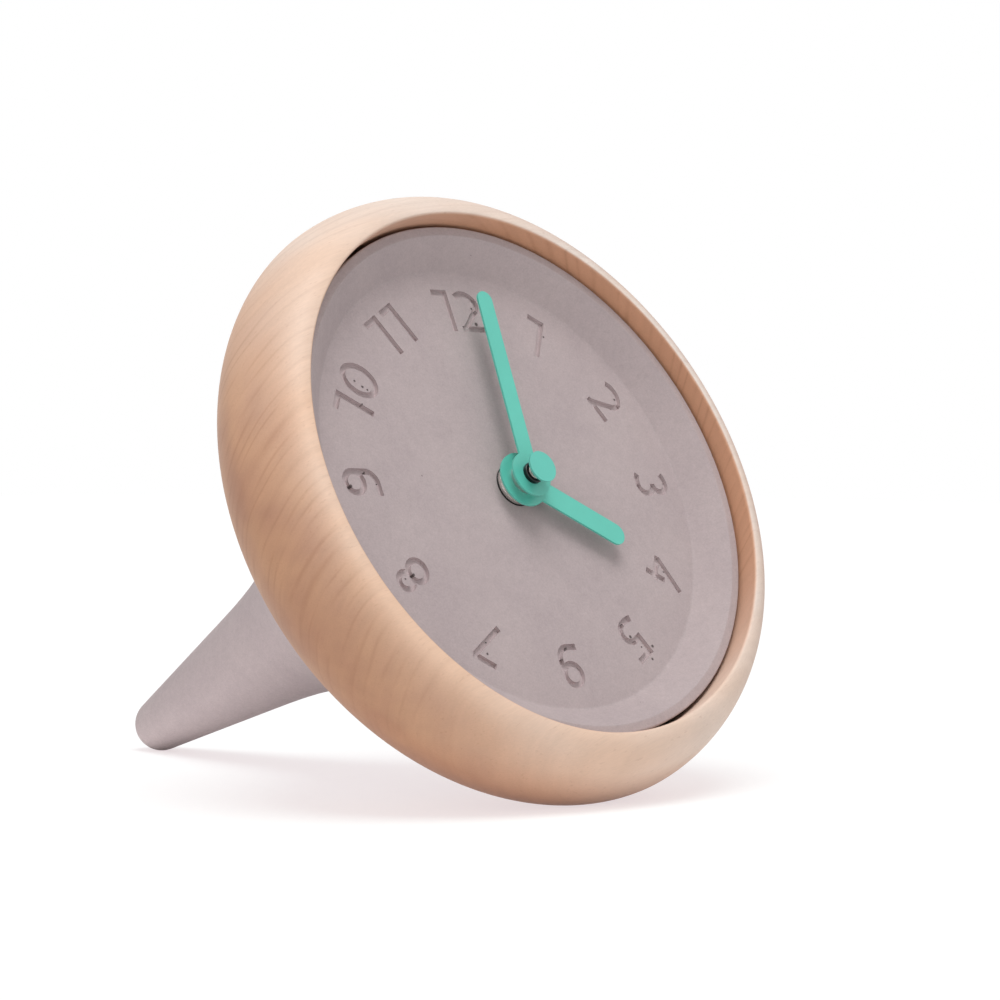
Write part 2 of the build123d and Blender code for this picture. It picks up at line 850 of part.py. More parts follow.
def train_bridge():
    plate = block(bridge_left, bridge_right, bridge_bottom, bridge_top, bridge_front, bridge_back)
    front, back = bridge_front - overrun, bridge_back + overrun
    plate -= bearing(seconds_arbor_radius, front, back)
    plate -= bearing(motion_arbor_radius, front, back, motion_at)
    plate -= bearing(knob_arbor_radius, front, back, knob_at)
    for at in (third_at, intermediate_at, rotor_at):
        plate -= bearing(pivot_radius, front, back, at)
    return plate


def contact_slot(side):
    """The slot through the partition that a contact passes, on the left, -1, or the right, 1."""
    inner = chamber_half - contact_thickness
    left, right = sorted((side * inner, side * chamber_half))
    front = board_front - contact_height
    return block(left, right, bay_top - overrun, chamber_bottom + overrun, front, board_front)


def movement_case():
    case = case_slab(plate_back, case_back)
    side = chamber_half
    case -= block(-side, side, chamber_bottom, side, plate_back - overrun, case_inner)
    case -= block(-side, side, bay_bottom, bay_top, plate_back + bay_floor, case_back + overrun)
    for at in bridge_posts:
        case += rod(post_radius, bridge_back, case_inner, at)
    for across in (-1, 1):
        leg_at = (across * (stator_half - stator_leg_width / 2), rotor_at[1])
        case += rod(post_radius, stator_back, case_inner, leg_at)
        case -= contact_slot(across)
    half_wall = case_inner + case_wall / 2
    case -= bearing(seconds_arbor_radius, case_inner - overrun, half_wall)
    for at in (third_at, intermediate_at, rotor_at):
        case -= bearing(pivot_radius, case_inner - overrun, half_wall, at)
    return case - bearing(knob_arbor_radius, case_inner - overrun, case_back + overrun, knob_at)


# Motor and electrics


def stator():
    top = stator_bottom + stator_bar_width
    plate = block(-stator_half, stator_half, stator_bottom, top, stator_front, stator_back)
    for side in (-1, 1):
        left, right = sorted((side * stator_half, side * (stator_half - stator_leg_width)))
        plate += block(left, right, top, coil_y + core_width / 2, stator_front, stator_back)
    return plate - rod(rotor_hole_radius, stator_front - overrun, stator_back + overrun, rotor_at)


def coil_core():
    low, high = coil_y - core_width / 2, coil_y + core_width / 2
    return block(-stator_half, stator_half, low, high, core_front, core_front + core_thickness)


def sideways(radius, length):
    """A round bar across the movement, at the coil."""
    return Pos(0, coil_y, -coil_depth) * Rot(0, 90, 0) * Cylinder(radius, length)


def coil_bobbin():
    body = sideways(bobbin_radius, 2 * bobbin_half)
    for side in (-1, 1):
        shift = side * (winding_length + bobbin_flange_thickness) / 2
        body += Pos(shift) * sideways(bobbin_flange_radius, bobbin_flange_thickness)
    return body - coil_core()


def coil_winding():
    return sideways(winding_radius, winding_length) - sideways(bobbin_radius, winding_length + overrun)


board_left = -chamber_half + fitting_gap
board_right = min(-stator_half, bridge_left) - board_clearance
board_x = (board_left + board_right) / 2
board_bottom = chamber_bottom + fitting_gap
board_top = board_bottom + board_length


def circuit_board():
    return block(board_left, board_right, board_bottom, board_top, board_front, case_inner)


def driver_chip():
    """A blob of resin over the chip."""
    at = (board_x, board_top - chip_inset)
    ball_radius = (chip_radius**2 + chip_height**2) / (2 * chip_height)
    ball = Pos(at[0], at[1], -(board_front + ball_radius - chip_height)) * Sphere(ball_radius)
    return ball & rod(chip_radius + overrun, board_front - chip_height - overrun, board_front, at)


def quartz_crystal():
    y = board_top - 2 * chip_inset - crystal_length / 2
    place = Pos(board_x, y, -(board_front - crystal_radius)) * Rot(90, 0, 0)
    return place * Cylinder(crystal_radius, crystal_length)


contact_front = board_front - contact_height
plate_low = cell_y - contact_width / 2


def contact_plate(side, top):
    """The upright strip at an end of the bay, which passes the partition into the chamber."""
    left, right = sorted((side * chamber_half, side * (chamber_half - contact_thickness)))
    return block(left, right, plate_low, top, contact_front, board_front)


def positive_contact():
    """The strip at the cell's button, which runs along the partition to the circuit board."""
    top = chamber_bottom + contact_thickness
    left = board_right - contact_runner_margin
    front = board_front - contact_runner_height
    runner = block(left, chamber_half, chamber_bottom, top, front, board_front)
    return contact_plate(1, top) + runner


def negative_contact():
    """The strip at the cell's flat end, with a sprung cone, and a tab on the circuit board."""
    top = chamber_bottom + contact_tab_length
    left = -chamber_half
    front = board_front - contact_thickness
    tab = block(left, left + contact_tab_width, chamber_bottom + contact_thickness, top, front, board_front)
    plate_face = left + contact_thickness
    reach = cell_left - plate_face
    place = Pos(plate_face + reach / 2, cell_y, -cell_depth) * Rot(0, 90, 0)
    cone = place * Cone(spring_outer_radius, spring_inner_radius, reach)
    wall = contact_thickness
    hollow = place * Cone(spring_outer_radius - wall, spring_inner_radius - wall, reach)
    return contact_plate(-1, top) + tab + (cone - hollow)


cell_right = chamber_half - contact_thickness
cell_left = cell_right - cell_length


def battery():
    can_right = cell_right - cell_nub_height
    can_length = can_right - cell_left
    can = Cylinder(cell_radius, can_length)
    can = fillet(can.edges().filter_by(GeomType.CIRCLE), cell_edge_round)
    can = Pos((cell_left + can_right) / 2, cell_y, -cell_depth) * Rot(0, 90, 0) * can
    nub = Pos((can_right + cell_right) / 2, cell_y, -cell_depth) * Rot(0, 90, 0)
    return can + nub * Cylinder(cell_nub_radius, cell_nub_height)


nodes = {
    "wood_ring": wood_ring,
    "concrete_dial": concrete_dial,
    "dial_bedding": dial_bedding,
    "dial_washer": dial_washer,
    "dial_nut": dial_nut,
    "rubber_washer": rubber_washer,
    "rear_foot": rear_foot,
    "ring_magnets": ring_magnets,
    "foot_magnets": foot_magnets,
    "hour_hand": hour_hand,
    "hour_hand_collet": hour_hand_collet,
    "minute_hand": minute_hand,
    "minute_hand_collet": minute_hand_collet,
    "minute_hand_nut": minute_hand_nut,
    "seconds_disc": seconds_disc,
    "seconds_stem": seconds_stem,
    "hour_wheel": hour_wheel,
    "motion_wheel": motion_wheel,
    "centre_wheel": centre_wheel,
    "third_wheel": third_wheel,
    "seconds_wheel": seconds_wheel,
    "intermediate_wheel": intermediate_wheel,
    "rotor_arbor": rotor_arbor,
    "rotor_magnet": rotor_magnet,
    "setting_knob": setting_knob,
    "movement_front_plate": movement_front_plate,
    "train_bridge": train_bridge,
    "movement_case": movement_case,
    "stator": stator,
    "coil_core": coil_core,
    "coil_bobbin": coil_bobbin,
    "coil_winding": coil_winding,
    "circuit_board": circuit_board,
    "driver_chip": driver_chip,
    "quartz_crystal": quartz_crystal,
    "positive_contact": positive_contact,
    "negative_contact": negative_contact,
    "battery": battery,
}

os.makedirs("parts", exist_ok=True)
for name, make in nodes.items():
    made = make()
    solids = made if isinstance(made, list) else made.solids()
    placed = [standing * solid for solid in solids]
    whole = placed[0] if len(placed) == 1 else Compound(children=placed)
    export_step(whole, f"parts/{name}.step")
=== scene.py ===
"""Looks of the desk clock on a turned wooden ring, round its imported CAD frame."""
from math import cos, pi, radians, sin

import bmesh
import bpy
from mathutils import Matrix, Quaternion, Vector


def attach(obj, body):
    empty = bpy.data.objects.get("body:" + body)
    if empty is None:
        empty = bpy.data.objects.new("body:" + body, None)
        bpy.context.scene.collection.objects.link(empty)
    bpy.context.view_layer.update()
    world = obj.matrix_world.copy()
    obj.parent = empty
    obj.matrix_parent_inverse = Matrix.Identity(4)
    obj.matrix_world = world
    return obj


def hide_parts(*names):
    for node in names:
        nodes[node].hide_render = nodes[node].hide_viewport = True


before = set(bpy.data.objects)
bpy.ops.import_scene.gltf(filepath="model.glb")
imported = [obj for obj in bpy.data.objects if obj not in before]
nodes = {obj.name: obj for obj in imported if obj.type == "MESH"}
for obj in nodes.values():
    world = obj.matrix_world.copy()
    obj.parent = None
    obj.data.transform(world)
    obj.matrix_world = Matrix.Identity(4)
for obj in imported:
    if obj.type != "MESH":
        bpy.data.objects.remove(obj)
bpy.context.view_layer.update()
scene = bpy.context.scene

# The clock's own axes: X to the 3, Y to the 12, Z along the axis towards the viewer, 0 at the lip
LEAN = radians(26)
LIP_POINT = Vector((0.0, -0.0555727, 0.0707736))
TO_WORLD = Matrix.Rotation(pi / 2 - LEAN, 3, "X")
ORIGIN_SHIFT = -(TO_WORLD.transposed() @ LIP_POINT)
MM = 0.001

# The wood's fibres in the clock's axes, the direction along its growth planes and the one across them
FIBRES = (0.944, 0.291, 0.16)
ALONG = (-0.2915, 0.4947, 0.8204)
ACROSS = (-0.159, 0.820, -0.551)


def srgb(red, green, blue):
    """A colour written as sRGB bytes, as linear values."""

    def linear(value):
        share = value / 255
        return share / 12.92 if share <= 0.04045 else ((share + 0.055) / 1.055) ** 2.4

    return linear(red), linear(green), linear(blue), 1.0


WOOD_PALE = srgb(232, 218, 208)
WOOD_WARM_SHADE = srgb(232, 196, 170)
WOOD_UNDERSIDE_SHADE = srgb(202, 140, 106)
WOOD_WALL_SHADE = srgb(210, 158, 126)
END_GRAIN_SHADE_DARK = srgb(177, 130, 104)
END_GRAIN_SHADE_LIGHT = srgb(192, 145, 113)
GROWTH_LINE = srgb(150, 98, 68)
PORE = srgb(160, 108, 78)
GROWTH_SPACING = 2.6 * MM
CONCRETE_DARK = srgb(178, 164, 165)
CONCRETE_LIGHT = srgb(185, 171, 171)
PINHOLE = srgb(66, 58, 56)


class Look:
    """A material's node tree, built from short calls."""

    def __init__(self, name, roughness, **sockets):
        self.material = bpy.data.materials.new(name)
        self.material.use_nodes = True
        self.tree = self.material.node_tree
        self.tree.nodes.clear()
        self.shader = self.add("ShaderNodeBsdfPrincipled")
        self.output = self.add("ShaderNodeOutputMaterial")
        self.link(self.shader.outputs[0], self.output.inputs["Surface"])
        self.shader.inputs["Roughness"].default_value = roughness
        for socket, value in sockets.items():
            self.shader.inputs[socket.replace("_", " ")].default_value = value
        self.coords = self.add("ShaderNodeTexCoord")

    def add(self, kind, **settings):
        node = self.tree.nodes.new(kind)
        for name, value in settings.items():
            setattr(node, name, value)
        return node

    def link(self, source, target):
        if isinstance(source, (int, float, tuple, list, Vector)):
            target.default_value = source
        else:
            self.tree.links.new(source, target)

    def math(self, operation, *values, clamp=False):
        node = self.add("ShaderNodeMath", operation=operation, use_clamp=clamp)
        for number, value in enumerate(values):
            self.link(value, node.inputs[number])
        return node.outputs[0]

    def in_clock_axes(self, output, shift=(0, 0, 0)):
        """One of the object's own coordinates, turned into the clock's axes and shifted."""
        node = self.add("ShaderNodeMapping")
        self.link(self.coords.outputs[output], node.inputs["Vector"])
        node.inputs["Location"].default_value = shift
        node.inputs["Rotation"].default_value = (LEAN - pi / 2, 0, 0)
        return node.outputs[0]

    def clock_point(self):
        """The point in the clock's own axes."""
        return self.in_clock_axes("Object", ORIGIN_SHIFT)

    def upward(self):
        """How far the surface faces up, from -1 to 1."""
        return self.split(self.coords.outputs["Normal"])[2]

    def radius(self, x, y):
        """Distance from the clock's axis."""
        return self.math("SQRT", self.math("MULTIPLY_ADD", x, x, self.math("MULTIPLY", y, y)))

    def noise(self, point, size, detail=2.0, roughness=0.5):
        """Noise whose features are about as large as the size, in metres."""
        node = self.add("ShaderNodeTexNoise")
        self.link(point, node.inputs["Vector"])
        node.inputs["Scale"].default_value = 1 / size
        node.inputs["Detail"].default_value = detail
        node.inputs["Roughness"].default_value = roughness
        return node.outputs[0]

    def spots(self, point, size):
        """Distance to the nearest of scattered points, in cell sizes, and a random value for each."""
        node = self.add("ShaderNodeTexVoronoi", feature="F1")
        self.link(point, node.inputs["Vector"])
        node.inputs["Scale"].default_value = 1 / size
        return node.outputs["Distance"], node.outputs["Color"]

    def span(self, value, low, high, to_low=0.0, to_high=1.0, smooth=False):
        """A value carried from one range to another, and kept inside it."""
        kind = "SMOOTHSTEP" if smooth else "LINEAR"
        node = self.add("ShaderNodeMapRange", interpolation_type=kind, clamp=True)
        for number, item in enumerate((value, low, high, to_low, to_high)):
            self.link(item, node.inputs[number])
        return node.outputs[0]

    def mix(self, share, first, second, blend="MIX"):
        node = self.add("ShaderNodeMix", data_type="RGBA", blend_type=blend)
        self.link(share, node.inputs[0])
        self.link(first, node.inputs[6])
        self.link(second, node.inputs[7])
        return node.outputs[2]

    def shade(self, colour, value):
        """A colour made lighter or darker by a grey value."""
        return self.mix(1.0, colour, value, "MULTIPLY")

    def split(self, point):
        node = self.add("ShaderNodeSeparateXYZ")
        self.link(point, node.inputs[0])
        return node.outputs

    def dot(self, point, direction):
        node = self.add("ShaderNodeVectorMath", operation="DOT_PRODUCT")
        self.link(point, node.inputs[0])
        self.link(direction, node.inputs[1])
        return node.outputs["Value"]

    def join(self, x, y, z):
        node = self.add("ShaderNodeCombineXYZ")
        for number, item in enumerate((x, y, z)):
            self.link(item, node.inputs[number])
        return node.outputs[0]

    def bevel(self, radius):
        node = self.add("ShaderNodeBevel", samples=6)
        node.inputs["Radius"].default_value = radius
        return node.outputs[0]

    def bump(self, height, depth, normal=None):
        """A bump whose height value of 1 stands for the depth, in metres."""
        node = self.add("ShaderNodeBump")
        node.inputs["Strength"].default_value = 1.0
        node.inputs["Distance"].default_value = depth
        self.link(height, node.inputs["Height"])
        if normal is not None:
            self.link(normal, node.inputs["Normal"])
        return node.outputs[0]

    def finish(self, colour, roughness=None, normal=None):
        self.link(colour, self.shader.inputs["Base Color"])
        if roughness is not None:
            self.link(roughness, self.shader.inputs["Roughness"])
        if normal is not None:
            self.link(normal, self.shader.inputs["Normal"])
        return self.material


def beech():
    """Pale oiled beech, with faint growth lines and painted shade."""
    look = Look("beech_wood", 0.5, Specular_IOR_Level=0.35)
    point = look.clock_point()
    x, y, z = look.split(point)
    fibres = look.dot(point, FIBRES)
    along = look.dot(point, ALONG)
    across = look.dot(point, ACROSS)
    wander = look.math("MULTIPLY", look.math("SUBTRACT", look.noise(point, 0.025, 1.0), 0.5), 0.003)
    across = look.math("ADD", across, wander)
    lengthways = look.math("MULTIPLY", fibres, 0.08)
    # End grain shows on the left and right of the ring. Its darker tone is partly the oil it takes and
    # partly painted shade.
    end = look.math("ABSOLUTE", look.dot(look.in_clock_axes("Normal"), FIBRES))
    end = look.span(end, 0.18, 1.04, smooth=True)
    # Painted shade: the wood is warmer and darker towards the ring's lower left, broken by random patches.
    lower_left_shade = look.math("MULTIPLY_ADD", x, -0.906 / 0.132, look.math("MULTIPLY_ADD", y, -0.423 / 0.132, 0.5))
    patch = look.noise(look.join(look.math("MULTIPLY", x, 0.5), y, z), 0.02, 2.0)
    lower_left_shade = look.math("ADD", lower_left_shade, look.span(patch, 0.3, 0.7, -0.2, 0.2), clamp=True)
    flank = look.mix(lower_left_shade, WOOD_PALE, WOOD_WARM_SHADE)
    oil_and_shade = look.noise(look.join(look.math("MULTIPLY", x, 0.5), along, across), 0.012, 2.0)
    oil_and_shade = look.mix(look.span(oil_and_shade, 0.35, 0.65), END_GRAIN_SHADE_DARK, END_GRAIN_SHADE_LIGHT)
    colour = look.mix(end, flank, oil_and_shade)
    # Painted shade: the wood turns warmer and darker where it faces down.
    underside_shade = look.span(look.upward(), -0.6, -0.97, 0.0, 0.6)
    colour = look.mix(underside_shade, colour, WOOD_UNDERSIDE_SHADE)
    # Painted shade on the wall round the dial, most at the upper right.
    wall_shade = look.span(look.radius(x, y), 60.9 * MM, 60.5 * MM)
    upper = look.math("MULTIPLY_ADD", x, 0.819 / 0.0605, look.math("MULTIPLY", y, 0.574 / 0.0605))
    wall_shade = look.math("MULTIPLY", wall_shade, look.span(upper, -0.1, 0.75, 0.1, 0.95))
    wall_shade = look.math("MULTIPLY", wall_shade, look.span(z, -17 * MM, -16.5 * MM))
    colour = look.mix(wall_shade, colour, WOOD_WALL_SHADE)
    # Growth lines show faintly and in broken lengths.
    slow = look.noise(look.join(lengthways, look.math("MULTIPLY", along, 0.1), across), 0.006)
    year = look.math("MULTIPLY_ADD", slow, 2.4, look.math("DIVIDE", across, GROWTH_SPACING))
    line = look.math("MULTIPLY_ADD", look.math("SINE", look.math("MULTIPLY", year, 2 * pi)), 0.5, 0.5)
    line = look.math("POWER", line, 6.0)
    broken = look.noise(look.join(lengthways, look.math("MULTIPLY", along, 0.4), across), 5.0 * MM, 2.0)
    line = look.math("MULTIPLY", line, look.span(broken, 0.36, 0.56))
    strength = look.span(end, 0.15, 0.8, 0.08, 0.24)
    strength = look.math("MULTIPLY", strength, look.span(y, -55 * MM, -20 * MM, 0.25, 1.0))
    colour = look.mix(look.math("MULTIPLY", line, strength), colour, GROWTH_LINE)
    streak = look.noise(look.join(lengthways, look.math("MULTIPLY", along, 0.2), across), 1.6 * MM, 2.0)
    colour = look.shade(colour, look.span(streak, 0.3, 0.7, 0.965, 1.028))
    fibre = look.noise(look.join(look.math("MULTIPLY", fibres, 0.06), along, across), 0.3 * MM, 3.0, 0.6)
    colour = look.shade(colour, look.span(fibre, 0.25, 0.75, 0.95, 1.035))
    pore_point = look.join(look.math("MULTIPLY", fibres, 0.22), look.math("MULTIPLY", along, 0.5), across)
    pore = look.span(look.noise(pore_point, 0.45 * MM, 1.0), 0.66, 0.76)
    colour = look.mix(look.math("MULTIPLY", pore, 0.14), colour, PORE)
    shine = look.span(fibre, 0.2, 0.8, 0.58, 0.48)
    return look.finish(colour, shine, look.bump(fibre, 0.012 * MM))


# Pinholes in the cast dial, beside and in its numbers, in millimetres in the clock's own axes
PINHOLES = [
    (4.6, 38.9, 0.42),
    (6.2, 37.3, 0.25),
    (4.69, 42.74, 0.22),
    (24.2, 36.5, 0.22),
    (40.2, 21.2, 0.28),
    (19.9, -35.9, 0.34),
    (25.7, -38.3, 0.34),
    (24.36, -41.25, 0.28),
    (22.23, -38.36, 0.2),
    (-23.25, -37.92, 0.26),
    (-34.44, 22.81, 0.28),
    (-33.31, 22.13, 0.22),
    (-36.13, 24.16, 0.24),
    (-36.0, 18.8, 0.17),
    (-46.0, 0.1, 0.32),
    (-36.6, -19.9, 0.3),
    (-39.17, -20.72, 0.2),
    (37.0, -21.1, 0.2),
    (-21.82, -35.09, 0.2),
]


def concrete(name, holes=(), edge=0.16 * MM, underside_painted_light=1.0, numbers_painted_light=1.0):
    look = Look(name, 0.85, Specular_IOR_Level=0.3)
    point = look.clock_point()
    x, y, z = look.split(point)
    cloud = look.noise(point, 0.018, 3.0, 0.6)
    mottle = look.noise(point, 1.6 * MM, 3.0, 0.65)
    sand = look.noise(point, 0.42 * MM, 2.0, 0.7)
    colour = look.mix(look.span(cloud, 0.3, 0.7), CONCRETE_DARK, CONCRETE_LIGHT)
    colour = look.shade(colour, look.span(mottle, 0.25, 0.75, 0.955, 1.04))
    colour = look.shade(colour, look.span(sand, 0.3, 0.7, 0.935, 1.06))
    # Painted light: surfaces that face down are made paler by the given factor.
    colour = look.shade(colour, look.span(look.upward(), 0.4, -0.5, 1.0, underside_painted_light))
    # Painted light in the pressed numbers, below the dial's face, lifts the shade in their grooves.
    on_face = look.span(look.radius(x, y), 53 * MM, 52 * MM)
    pressed = look.math("MULTIPLY", look.span(z, -10.5 * MM, -10.9 * MM), on_face)
    colour = look.shade(colour, look.span(pressed, 0.0, 1.0, 1.0, numbers_painted_light))
    away, tint = look.spots(point, 8 * MM)
    size = look.span(look.split(tint)[0], 0.5, 1.0, 0.0, 0.03)
    hole = look.math("GREATER_THAN", size, away)
    flat = look.join(x, y, 0.0)
    for hole_x, hole_y, radius in holes:
        offset = look.add("ShaderNodeVectorMath", operation="DISTANCE")
        look.link(flat, offset.inputs[0])
        look.link((hole_x * MM, hole_y * MM, 0.0), offset.inputs[1])
        near = look.span(offset.outputs["Value"], radius * MM * 1.3, radius * MM * 0.7)
        hole = look.math("MAXIMUM", hole, near)
    colour = look.mix(look.math("MULTIPLY", hole, 0.85), colour, PINHOLE)
    relief = look.math("MULTIPLY_ADD", sand, 0.22, look.math("MULTIPLY", mottle, 0.5))
    relief = look.math("MULTIPLY_ADD", hole, -1.6, relief)
    shine = look.span(mottle, 0.3, 0.7, 0.9, 0.8)
    return look.finish(colour, shine, look.bump(relief, 0.1 * MM, look.bevel(edge)))


def mint_paint(name, colour, radius=0.06 * MM):
    look = Look(name, 0.38, Coat_Weight=0.15, Coat_Roughness=0.25)
    point = look.coords.outputs["Object"]
    cloud = look.noise(point, 6 * MM, 2.0)
    peel = look.noise(point, 0.4 * MM, 1.0)
    shade = look.shade(colour, look.span(cloud, 0.3, 0.7, 0.975, 1.02))
    shine = look.span(peel, 0.3, 0.7, 0.34, 0.42)
    return look.finish(shade, shine, look.bump(peel, 0.006 * MM, look.bevel(radius)))


def turned_metal(name, colour, roughness, depth=0.002 * MM):
    """Metal turned on a lathe, with fine rings round the clock's axis."""
    look = Look(name, roughness, Metallic=1.0)
    x, y, z = look.split(look.clock_point())
    rings = look.noise(look.join(look.radius(x, y), z, 0.0), 0.07 * MM, 2.0, 0.7)
    dust = look.noise(look.coords.outputs["Object"], 1.4 * MM, 3.0)
    shade = look.shade(colour, look.span(dust, 0.3, 0.7, 0.93, 1.04))
    rough = look.span(rings, 0.3, 0.7, roughness * 0.85, roughness * 1.2)
    return look.finish(shade, rough, look.bump(rings, depth, look.bevel(0.05 * MM)))


def plain(name, colour, roughness, size=2 * MM, depth=0.01 * MM, **sockets):
    """A moulded, pressed or cast surface with a fine texture of its own."""
    look = Look(name, roughness, **sockets)
    point = look.coords.outputs["Object"]
    cloud = look.noise(point, size * 4, 2.0)
    fine = look.noise(point, size / 6, 2.0)
    shade = look.shade(colour, look.span(cloud, 0.3, 0.7, 0.93, 1.05))
    rough = look.span(fine, 0.3, 0.7, roughness * 0.9, min(1.0, roughness * 1.12))
    return look.finish(shade, rough, look.bump(fine, depth))


beech_wood = beech()
looks = (
    (beech_wood, ["wood_ring"]),
    (concrete("dial_concrete", PINHOLES, edge=0.08 * MM, numbers_painted_light=1.2), ["concrete_dial"]),
    (concrete("foot_concrete", underside_painted_light=1.35), ["rear_foot"]),
    (mint_paint("hand_paint", srgb(94, 196, 178)), ["hour_hand", "minute_hand"]),
    (mint_paint("disc_paint", srgb(94, 194, 178)), ["seconds_disc"]),
    (turned_metal("polished_nut", srgb(232, 230, 226), 0.25), ["dial_nut"]),
    (turned_metal("dark_washer", srgb(60, 58, 58), 0.4), ["dial_washer"]),
    (turned_metal("dark_stem", srgb(60, 60, 60), 0.3), ["seconds_stem", "minute_hand_nut"]),
    (turned_metal("collet_steel", srgb(196, 198, 196), 0.5), ["hour_hand_collet", "minute_hand_collet"]),
    (plain("grey_adhesive", srgb(70, 66, 62), 0.6), ["dial_bedding"]),
    (plain("black_rubber", srgb(34, 34, 34), 0.8), ["rubber_washer"]),
    (
        plain("black_moulding", srgb(30, 30, 32), 0.55, size=1.2 * MM, depth=0.02 * MM),
        ["movement_front_plate", "movement_case", "setting_knob"],
    ),
    (
        plain("white_moulding", srgb(222, 220, 212), 0.45, Subsurface_Weight=0.05),
        [
            "train_bridge",
            "hour_wheel",
            "motion_wheel",
            "centre_wheel",
            "third_wheel",
            "seconds_wheel",
            "intermediate_wheel",
            "rotor_arbor",
            "coil_bobbin",
        ],
    ),
    (plain("rolled_steel", srgb(150, 150, 152), 0.35, Metallic=1.0), ["stator", "coil_core"]),
    (
        plain("nickel_plate", srgb(200, 196, 186), 0.25, Metallic=1.0),
        ["positive_contact", "negative_contact", "quartz_crystal"],
    ),
    (plain("magnet_plate", srgb(170, 170, 172), 0.25, Metallic=1.0), ["ring_magnets", "foot_magnets"]),
    (plain("ferrite", srgb(60, 58, 58), 0.6), ["rotor_magnet"]),
    (plain("copper_wire", srgb(190, 110, 70), 0.3, Metallic=1.0), ["coil_winding"]),
    (plain("board_green", srgb(40, 96, 62), 0.5), ["circuit_board"]),
    (plain("black_resin", srgb(26, 26, 26), 0.35), ["driver_chip"]),
    (plain("cell_wrap", srgb(62, 66, 72), 0.35, Metallic=0.3), ["battery"]),
)
for material, names in looks:
    for name in names:
        for slot in nodes[name].material_slots:
            slot.material = material

# The ring's turned profile, in millimetres: distance from the axis and depth behind the lip
RING_RADIUS = 70.005
LIP_RADIUS = 60.455
LIP_ROUND = 0.6
WIDEST_DEPTH = 15.2
FRONT_FULLNESS = 1.81
REAR_FULLNESS = 1.71
REAR_RADIUS = 47.855
REAR_DEPTH = 36.7
REAR_WALL = 5.5
OPENING_RADIUS = 38.655
CAVITY_RADIUS = 43.955
LEDGE_DEPTH = 15.9
MAGNET_RING_RADIUS = 43.255
MAGNET_RADIUS = 3.0
MAGNET_THICKNESS = 3.0
MAGNET_COUNT = 3
CUTTER_LENGTH = 4.0


def quarter(radius, depth, width, height, fullness, rearward, steps=40):
    """Points of a quarter superellipse round a centre, from the front backwards."""
    points = []
    for step in range(steps + 1):
        angle = pi / 2 * step / steps
        rise = sin(angle) ** (2 / fullness)
        fall = max(0.0, cos(angle)) ** (2 / fullness)
        if rearward:
            points.append((radius + width * fall, depth + height * rise))
        else:
            points.append((radius + width * rise, depth - height * fall))
    return points


def straight(start, end, steps):
    """Points of a straight run, its start left out."""
    return [
        (start[0] + (end[0] - start[0]) * step / steps, start[1] + (end[1] - start[1]) * step / steps)
        for step in range(1, steps + 1)
    ]


def ring_profile():
    lip_end = LIP_RADIUS + LIP_ROUND
    lip = [
        (lip_end - LIP_ROUND * cos(pi / 12 * step), LIP_ROUND - LIP_ROUND * sin(pi / 12 * step))
        for step in range(6)
    ]
    points = lip
    points += quarter(lip_end, WIDEST_DEPTH, RING_RADIUS - lip_end, WIDEST_DEPTH, FRONT_FULLNESS, False)
    rear_height = REAR_DEPTH - WIDEST_DEPTH
    rear_width = RING_RADIUS - REAR_RADIUS
    points += quarter(REAR_RADIUS, WIDEST_DEPTH, rear_width, rear_height, REAR_FULLNESS, True)[1:]
    corners = [
        (OPENING_RADIUS, REAR_DEPTH),
        (OPENING_RADIUS, REAR_DEPTH - REAR_WALL),
        (CAVITY_RADIUS, REAR_DEPTH - REAR_WALL),
        (CAVITY_RADIUS, LEDGE_DEPTH),
        (LIP_RADIUS, LEDGE_DEPTH),
        lip[0],
    ]
    for corner in corners:
        points += straight(points[-1], corner, 4)
    return points[:-1]


def to_world(x, y, depth):
    """A point in the clock's own axes, in millimetres, in the scene's metres."""
    return TO_WORLD @ Vector((x, y, -depth)) * MM + LIP_POINT


def ring_mesh(segments=384):
    mesh = bmesh.new()
    rows = []
    for radius, depth in ring_profile():
        row = []
        for number in range(segments):
            angle = 2 * pi * number / segments
            place = to_world(radius * cos(angle), radius * sin(angle), depth)
            place.z = max(0.0, place.z)
            row.append(mesh.verts.new(place))
        rows.append(row)
    for row, following in zip(rows, rows[1:] + rows[:1]):
        for number in range(segments):
            after = (number + 1) % segments
            mesh.faces.new((row[number], row[after], following[after], following[number]))
    bmesh.ops.dissolve_degenerate(mesh, dist=1e-7, edges=mesh.edges)
    bmesh.ops.recalc_face_normals(mesh, faces=mesh.faces)
    return mesh


def as_object(mesh, name):
    data = bpy.data.meshes.new(name)
    mesh.to_mesh(data)
    mesh.free()
    item = bpy.data.objects.new(name, data)
    scene.collection.objects.link(item)
    return item


def magnet_cutters():
    """Short rods that take the magnets' pockets out of the ring's back."""
    mesh = bmesh.new()
    for number in range(MAGNET_COUNT):
        angle = radians(90 + 360 / MAGNET_COUNT * number)
        x, y = MAGNET_RING_RADIUS * cos(angle), MAGNET_RING_RADIUS * sin(angle)
        middle = to_world(x, y, REAR_DEPTH - MAGNET_THICKNESS + CUTTER_LENGTH / 2)
        turn = Matrix.Translation(middle) @ TO_WORLD.to_4x4()
        size = MAGNET_RADIUS * MM
        length = CUTTER_LENGTH * MM
        bmesh.ops.create_cone(
            mesh, cap_ends=True, segments=64, radius1=size, radius2=size, depth=length, matrix=turn
        )
    return as_object(mesh, "magnet_cutters")


